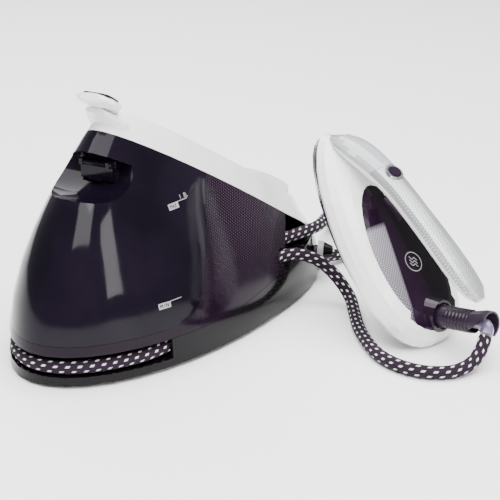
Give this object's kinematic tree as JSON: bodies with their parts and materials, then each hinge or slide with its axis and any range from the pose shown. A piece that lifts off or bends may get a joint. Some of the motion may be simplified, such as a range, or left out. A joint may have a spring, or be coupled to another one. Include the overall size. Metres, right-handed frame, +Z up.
{
  "type": "steam generator iron",
  "caption": "Steam generator iron: boiler base with sloping iron rest, slide-out water tank and hose groove, and a hand iron on a braided steam hose.",
  "frame": {"origin": "middle of the footprint of base and iron together, on the floor", "axes": "+Z up; the base lies along X with its tank nose at -X; the hand iron stands on the floor at -Y"},
  "size_m": [0.6112, 0.4595, 0.2545],
  "materials": {
    "white_shell": "glossy white moulded plastic",
    "purple_shell": "dark aubergine gloss with a fine dot mesh",
    "tank_tint": "dark tinted clear plastic",
    "black_shell": "black gloss plastic",
    "grey_plastic": "satin grey plastic",
    "clear_grey": "smoky clear plastic",
    "silver_grip": "satin silver with raised dots",
    "steel": "polished steel",
    "brass_fitting": "plain brass",
    "rubber_part": "matt black rubber",
    "elbow_lavender": "lavender grey gloss plastic",
    "circuit_board": "green board",
    "braid": "woven braid, dark with pale dashes"
  },
  "bodies": {
    "base": {"top_cover": "white_shell", "heel_stop": "white_shell", "housing": "purple_shell", "lower_tub": "black_shell", "mains_inlet": "black_shell", "rest_mat": "grey_plastic", "chassis": "grey_plastic", "pump": "grey_plastic", "board_bracket": "grey_plastic", "tank_coupling": "grey_plastic", "calc_collar": "grey_plastic", "boiler": "steel", "boiler_heater": "brass_fitting", "steam_valve": "brass_fitting", "safety_valve": "brass_fitting", "foot_1": "rubber_part", "foot_2": "rubber_part", "foot_3": "rubber_part", "foot_4": "rubber_part", "hose_outlet": "rubber_part", "water_pipe": "rubber_part", "steam_pipe": "rubber_part", "control_board": "circuit_board", "steam_hose": "braid"},
    "iron": {"soleplate": "steel", "heat_shield": "black_shell", "skirt": "white_shell", "body_cover": "purple_shell", "steam_chamber": "steel", "thermostat": "brass_fitting", "steam_inlet_pipe": "brass_fitting", "nose_piece": "clear_grey", "handle_grip": "silver_grip", "handle_shell": "white_shell", "mode_bezel": "steel", "trigger_pin": "steel"},
    "tank": {"tank_shell": "tank_tint", "tank_valve": "rubber_part", "fill_door_pin": "steel"},
    "fill_door": {"fill_door": "tank_tint"},
    "latch": {"latch_arm": "white_shell"},
    "latch_button": {"latch_button": "purple_shell"},
    "calc_knob": {"calc_knob": "black_shell"},
    "power_button": {"power_button": "grey_plastic"},
    "eco_button": {"eco_button": "grey_plastic"},
    "steam_trigger": {"steam_trigger": "purple_shell"},
    "mode_button": {"mode_button": "purple_shell"},
    "hose_boot": {"swivel_ball": "purple_shell", "hose_sleeve": "purple_shell", "hose_elbow": "elbow_lavender"}
  },
  "joints": [
    {"name": "tank_slide", "type": "slide", "parent": "base", "child": "tank", "axis": [-1, 0, 0], "range_m": [0, 0.12]},
    {"name": "fill_door_hinge", "type": "hinge", "parent": "tank", "child": "fill_door", "pos_m": [-0.11635, 0.11603, 0.1866], "axis": [0, 1, 0], "range_deg": [0, 50]},
    {"name": "latch_slide", "type": "slide", "parent": "base", "child": "latch", "axis": [-0.8564, 0, 0.5164], "range_m": [0, 0.006]},
    {"name": "latch_button_press", "type": "slide", "parent": "latch", "child": "latch_button", "axis": [-0.5164, 0, -0.8564], "range_m": [0, 0.0018], "stiffness_N_per_m": 900, "springref_m": -0.0005},
    {"name": "calc_knob_turn", "type": "hinge", "parent": "base", "child": "calc_knob", "pos_m": [0.14785, 0.01743, 0.031], "axis": [0.3616, -0.9323, 0], "range_deg": [0, 90]},
    {"name": "power_button_press", "type": "slide", "parent": "base", "child": "power_button", "axis": [0, 0, -1], "range_m": [0, 0.002], "stiffness_N_per_m": 900, "springref_m": -0.0005},
    {"name": "eco_button_press", "type": "slide", "parent": "base", "child": "eco_button", "axis": [0, 0, -1], "range_m": [0, 0.002], "stiffness_N_per_m": 900, "springref_m": -0.0005},
    {"name": "iron_lift", "type": "slide", "parent": "base", "child": "iron", "axis": [0, 0, 1], "range_m": [0, 0.1]},
    {"name": "steam_trigger_pull", "type": "hinge", "parent": "iron", "child": "steam_trigger", "pos_m": [0.06782, -0.10174, 0.14073], "axis": [-0.9632, 0.2689, 0], "range_deg": [0, 6], "stiffness_Nm_per_rad": 0.4, "springref_deg": -5.73},
    {"name": "mode_button_press", "type": "slide", "parent": "iron", "child": "mode_button", "axis": [0.1373, 0.4917, -0.8598], "range_m": [0, 0.0015], "stiffness_N_per_m": 900, "springref_m": -0.0005},
    {"name": "hose_boot_swivel", "type": "hinge", "parent": "iron", "child": "hose_boot", "pos_m": [0.05077, -0.16279, 0.03058], "axis": [-0.2661, -0.9531, 0.1444], "range_deg": [0, 12]}
  ]
}
